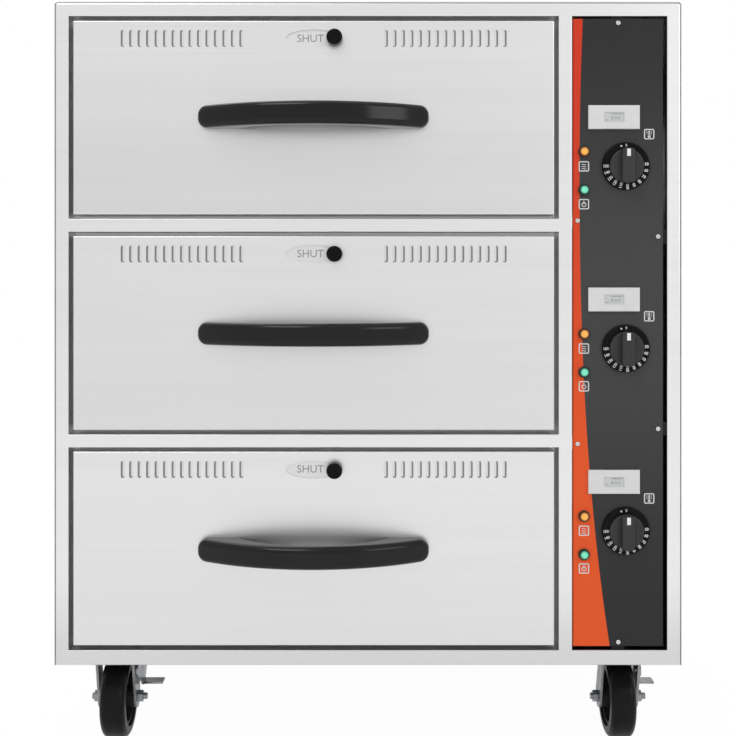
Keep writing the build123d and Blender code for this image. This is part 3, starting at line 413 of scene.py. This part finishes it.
# Control panel: a dark grey powder-coated plate with an orange stripe printed down its left
# edge. The stripe narrows to a waist below the top and then sweeps wide towards the bottom.
STRIPE_WAIST = 7.9 * MM
WAIST_DROP = 190.0 * MM
CURVE_ABOVE = 0.11
CURVE_BELOW = 0.07
SWEEP_BELOW = 0.08
PAINT_EDGE = 0.1 * MM
panel = Finish("panel_paint")
low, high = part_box("control_panel")
drop = high[2] - panel.split(panel.place, "Z")
from_left = panel.split(panel.place, "X") - low[0]
above = (WAIST_DROP - drop).math("MAXIMUM", 0.0)
below = (drop - WAIST_DROP).math("MAXIMUM", 0.0)
widening = above * above * CURVE_ABOVE + below * below * (below * SWEEP_BELOW + CURVE_BELOW)
stripe = (STRIPE_WAIST + widening - from_left).between(-PAINT_EDGE, PAINT_EDGE)
fleck = panel.noise(panel.place, 900.0, 2.0)
fade = drop.between(0.0, 0.30) - drop.between(0.38, 0.74)
grey = panel.mix(fade, (0.018, 0.018, 0.019), (0.050, 0.050, 0.050))
grey = panel.mix(fleck * 0.12, grey, (0.07, 0.07, 0.07))
orange = panel.mix(drop.between(0.05, 0.60), (0.60, 0.030, 0.008), (0.76, 0.088, 0.014))
orange = panel.mix(fleck * 0.10, orange, (0.8, 0.16, 0.05))
panel.set(
    Base_Color=panel.mix(stripe, grey, orange),
    Roughness=0.46 + fleck * 0.1,
    Specular_IOR_Level=0.25,
)
panel.bump(fleck, 0.00002, 0.3)
paint(panel.owner, "control_panel")

# Displays: white moulded bezels clipped into the panel, each with a pale grey screen let into
# the middle.
SCREEN_HALF_WIDTH = 12.0 * MM
SCREEN_DEPTH = 0.9 * MM
SCREEN_EDGE = 0.02 * MM
display = Finish("display_white")
low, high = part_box("thermometers")
off_middle = display.split(display.place, "X") - (low[0] + high[0]) / 2
off_middle = off_middle.math("ABSOLUTE")
depth = display.split(display.place, "Y") - low[1]
deep = depth.between(SCREEN_DEPTH, SCREEN_DEPTH + SCREEN_EDGE)
screen = deep * (1.0 - off_middle.between(SCREEN_HALF_WIDTH - SCREEN_EDGE, SCREEN_HALF_WIDTH))
grime = display.noise(display.place, 120.0, 3.0)
bezel_tone = display.mix(grime, (0.64, 0.64, 0.64), (0.71, 0.71, 0.71))
screen_tone = display.mix(grime, (0.54, 0.55, 0.55), (0.61, 0.62, 0.62))
display.set(Base_Color=display.mix(screen, bezel_tone, screen_tone), Roughness=0.42 - screen * 0.3)
display.bump(display.noise(display.place, 1200.0, 2.0), 0.00001, 0.3)
paint(display.owner, "thermometers")


# Pilot lamps: a domed translucent lens in a dark metal bezel. The lens glows in its middle
# and darkens towards its rim.
LENS_RADIUS = 5.2 * MM
LENS_EDGE = 0.3 * MM
CORE_RADIUS = 2.6 * MM


def lamp_finish(name, node, rim, core, bezel):
    """Glass for a column of three lamps at one pitch, measured from the box of their node."""
    lamp_glass = Finish(name)
    low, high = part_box(node)
    pitch = (high[2] - low[2] - (high[0] - low[0])) / 2
    off_x = lamp_glass.split(lamp_glass.place, "X") - (low[0] + high[0]) / 2
    off_z = lamp_glass.split(lamp_glass.place, "Z") - (low[2] + high[2]) / 2
    off_z = off_z.math("WRAP", pitch / 2, -pitch / 2)
    reach = (off_x * off_x + off_z * off_z).math("SQRT")
    lens = 1.0 - reach.between(LENS_RADIUS - LENS_EDGE, LENS_RADIUS)
    middle = 1.0 - reach.between(CORE_RADIUS, LENS_RADIUS)
    facets = lamp_glass.noise(lamp_glass.place, 700.0, 1.0)
    glass = lamp_glass.mix(middle * 0.85 + facets * 0.15, rim, core)
    lamp_glass.set(
        Base_Color=lamp_glass.mix(lens, bezel, glass),
        Roughness=0.22 + facets * 0.08,
        Emission_Color=lamp_glass.mix(lens * middle, (0, 0, 0), core),
        Emission_Strength=0.16,
    )
    paint(lamp_glass.owner, node)


for name, node, rim, core, bezel in (
    ("amber_lens", "amber_lamps", (0.28, 0.08, 0.005), (1.0, 0.46, 0.09), (0.04, 0.014, 0.003)),
    ("green_lens", "green_lamps", (0.0, 0.10, 0.06), (0.20, 0.78, 0.52), (0.0, 0.022, 0.016)),
):
    lamp_finish(name, node, rim, core, bezel)


# Printed marks: the numbers round each dial, the icons beside the lamps, the pointers and the
# words on the vent sliders. Thin raised ink, 0.1 mm thick.
INK = 0.1 * MM


def ink(name, light, dark):
    print_finish = Finish(name)
    patch = print_finish.noise(print_finish.place, 1500.0, 2.0)
    print_finish.set(Base_Color=print_finish.mix(patch, dark, light), Roughness=0.5 + patch * 0.2)
    return print_finish.owner


white_ink = ink("white_ink", (0.86, 0.86, 0.86), (0.72, 0.72, 0.72))
icon_ink = ink("icon_ink", (0.72, 0.72, 0.72), (0.58, 0.58, 0.58))
grey_ink = ink("grey_ink", (0.30, 0.30, 0.30), (0.24, 0.24, 0.24))
segment_ink = ink("segment_ink", (0.26, 0.27, 0.27), (0.20, 0.21, 0.21))


def lettering(words, x, y, z, size, turn=0.0, weight=0.0):
    """Words that face the front, standing out from y by the thickness of ink."""
    bpy.ops.object.select_all(action="DESELECT")
    bpy.ops.object.text_add(location=(x, y, z), rotation=(pi / 2, -turn, 0))
    made = bpy.context.object
    made.data.body = words
    made.data.size = size
    made.data.align_x = "CENTER"
    made.data.align_y = "CENTER"
    made.data.extrude = INK
    made.data.offset = weight
    made.data.resolution_u = 3
    bpy.ops.object.convert(target="MESH")
    return bpy.context.object


def bar(x, y, z, width, height, turn=0.0):
    """A flat bar of ink on a face at y."""
    bpy.ops.object.select_all(action="DESELECT")
    bpy.ops.mesh.primitive_cube_add(size=1, location=(x, y - INK / 2, z), rotation=(0, -turn, 0))
    made = bpy.context.object
    made.scale = (width, INK, height)
    bpy.ops.object.transform_apply(location=False, rotation=False, scale=True)
    bpy.ops.object.mode_set(mode="EDIT")
    bpy.ops.mesh.bevel(offset=INK * 0.3, segments=1)
    bpy.ops.object.mode_set(mode="OBJECT")
    return made


def ring(x, y, z, outer, line, square=False):
    """A flat closed line on a face at y: round, or square with rounded corners."""
    bpy.ops.object.select_all(action="DESELECT")
    at = {"location": (x, y - INK, z), "rotation": (pi / 2, 0, 0)}
    if square:
        bpy.ops.mesh.primitive_plane_add(size=outer, **at)
    else:
        bpy.ops.mesh.primitive_circle_add(vertices=40, radius=outer / 2, fill_type="NGON", **at)
    made = bpy.context.object
    bpy.ops.object.mode_set(mode="EDIT")
    if square:
        bpy.ops.mesh.bevel(offset=outer * 0.16, segments=5, affect="VERTICES")
    bpy.ops.mesh.select_all(action="SELECT")
    bpy.ops.mesh.inset(thickness=line)
    bpy.ops.mesh.delete(type="FACE")
    bpy.ops.object.mode_set(mode="OBJECT")
    wall = made.modifiers.new("ink", "SOLIDIFY")
    wall.thickness = INK
    wall.offset = -1
    bpy.ops.object.modifier_apply(modifier="ink")
    return made


def join_as(name, made, material, body):
    """Joins the marks of one print into one piece that rides on a body."""
    bpy.ops.object.select_all(action="DESELECT")
    for mark in made:
        mark.select_set(True)
    bpy.context.view_layer.objects.active = made[0]
    if len(made) > 1:
        bpy.ops.object.join()
    piece = bpy.context.object
    bpy.ops.object.transform_apply(location=True, rotation=True, scale=True)
    piece.name = name
    piece.data.name = name
    piece.data.materials.clear()
    piece.data.materials.append(material)
    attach(piece, body)


def middle_of(node):
    low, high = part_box(node)
    return [(a + b) / 2 for a, b in zip(low, high)]


# Dial numbers: a zero and a dot at the top, then 50 to 150 clockwise round the lower half. They
# are printed along the radius, and read outwards on the right and inwards on the left.
DIAL_RADIUS = 24.4 * MM
FIRST_NUMBER = 50
NUMBER_STEP = 10
NUMBERS = 11
FIRST_ANGLE = 85.0
LAST_ANGLE = 269.0
DOT_ANGLE = -14.0
DOT_SIZE = 2.2 * MM
DOT_LINE = 0.8 * MM
DIGIT_SIZE = 4.7 * MM
DIGIT_WEIGHT = 0.1 * MM


def round_dial(x, z, degrees):
    """A place on the dial round x and z, clockwise from the top."""
    angle = radians(degrees)
    return x + DIAL_RADIUS * sin(angle), z + DIAL_RADIUS * cos(angle)


dial_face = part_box("dial_rings")[0][1]
for number in (1, 2, 3):
    x, y, z = middle_of(f"knob_{number}")
    marks = []
    for n in range(NUMBERS):
        angle = FIRST_ANGLE + n * (LAST_ANGLE - FIRST_ANGLE) / (NUMBERS - 1)
        along = radians((90.0 if angle < 180.0 else 270.0) - angle)
        digit_x, digit_z = round_dial(x, z, angle)
        value = str(FIRST_NUMBER + n * NUMBER_STEP)
        marks.append(
            lettering(value, digit_x, dial_face, digit_z, DIGIT_SIZE, along, DIGIT_WEIGHT)
        )
    marks.append(lettering("0", x, dial_face, z + DIAL_RADIUS, DIGIT_SIZE))
    dot_x, dot_z = round_dial(x, z, DOT_ANGLE)
    marks.append(ring(dot_x, dial_face, dot_z, DOT_SIZE, DOT_LINE))
    join_as(f"dial_numbers_{number}", marks, white_ink, "cabinet")

# Pointers: a white bar let into the front of each grip, near its upper end. It turns with the
# knob and shows the number set.
POINTER_WIDTH = 4.4 * MM
POINTER_LENGTH = 8.6 * MM
POINTER_MARGIN = 1.4 * MM
for number in (1, 2, 3):
    low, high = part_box(f"knob_{number}")
    x = (low[0] + high[0]) / 2
    z = high[2] - POINTER_MARGIN - POINTER_LENGTH / 2
    pointer = bar(x, low[1], z, POINTER_WIDTH, POINTER_LENGTH)
    join_as(f"pointer_{number}", [pointer], white_ink, f"selector_{number}")

# Icons on the panel: a thermometer beside each dial, warmth under the amber lamp and power
# under the green one, each in a rounded square.
ICON = 12.4 * MM
ICON_LINE = 1.3 * MM
THERMOMETER_RIGHT = 28.2 * MM
THERMOMETER_UP = 38.4 * MM
WARMTH_DROP = 0.2 * MM
POWER_DROP = 45.4 * MM
panel_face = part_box("control_panel")[0][1]
lamp_x = middle_of("amber_lamps")[0]
for number in (1, 2, 3):
    x, y, z = middle_of(f"knob_{number}")
    marks = []
    icon_x, icon_z = x + THERMOMETER_RIGHT, z + THERMOMETER_UP
    marks.append(ring(icon_x, panel_face, icon_z, ICON, ICON_LINE, square=True))
    marks.append(bar(icon_x, panel_face, icon_z + 1.0 * MM, 1.6 * MM, 6.4 * MM))
    marks.append(ring(icon_x, panel_face, icon_z - 2.6 * MM, 3.6 * MM, 1.6 * MM))
    for side in (-1, 1):
        for row in (0, 1, 2):
            tick_x, tick_z = icon_x + side * 2.6 * MM, icon_z + (0.2 + 1.5 * row) * MM
            marks.append(bar(tick_x, panel_face, tick_z, 1.5 * MM, 0.6 * MM))
    icon_z = z - WARMTH_DROP
    marks.append(ring(lamp_x, panel_face, icon_z, ICON, ICON_LINE, square=True))
    for row in (-1, 0, 1):
        marks.append(lettering("~", lamp_x, panel_face, icon_z + row * 2.6 * MM, 10.0 * MM))
    icon_z = z - POWER_DROP
    marks.append(ring(lamp_x, panel_face, icon_z, ICON, ICON_LINE, square=True))
    marks.append(ring(lamp_x, panel_face, icon_z - 0.5 * MM, 5.8 * MM, 0.9 * MM))
    marks.append(bar(lamp_x, panel_face, icon_z + 1.9 * MM, 1.0 * MM, 4.2 * MM))
    join_as(f"panel_icons_{number}", marks, icon_ink, "cabinet")

# Screen figures: dark segments on the screen of each display, with a short bar below them and
# a long one above.
SCREEN_BACK = 1.0 * MM
SCREEN_UP = 58.5 * MM
low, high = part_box("thermometers")
screen_face = low[1] + SCREEN_BACK
for number in (1, 2, 3):
    x = (low[0] + high[0]) / 2
    z = middle_of(f"knob_{number}")[2] + SCREEN_UP
    marks = [lettering("8 0 0", x + 2 * MM, screen_face, z - 1.2 * MM, 5.4 * MM)]
    marks.append(bar(x - 8.5 * MM, screen_face, z - 3.4 * MM, 4.0 * MM, 0.7 * MM))
    marks.append(bar(x + 3.0 * MM, screen_face, z + 3.8 * MM, 13.0 * MM, 0.8 * MM))
    join_as(f"screen_figures_{number}", marks, segment_ink, "cabinet")

# Vent words: printed in grey on each slider, so that the window of the skin shows one word
# when the vent is shut and the other when it is open.
SHUT_X = -4.0 * MM
OPEN_X = 57.5 * MM
WORD_SIZE = 13.0 * MM
for number in (1, 2, 3):
    low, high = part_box(f"front_skin_{number}")
    middle = (low[0] + high[0]) / 2
    low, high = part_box(f"vent_slider_{number}")
    z = (low[2] + high[2]) / 2
    marks = [
        lettering("SHUT", middle + SHUT_X, low[1], z, WORD_SIZE),
        lettering("OPEN", middle + OPEN_X, low[1], z, WORD_SIZE),
    ]
    join_as(f"vent_words_{number}", marks, grey_ink, f"vent_{number}")
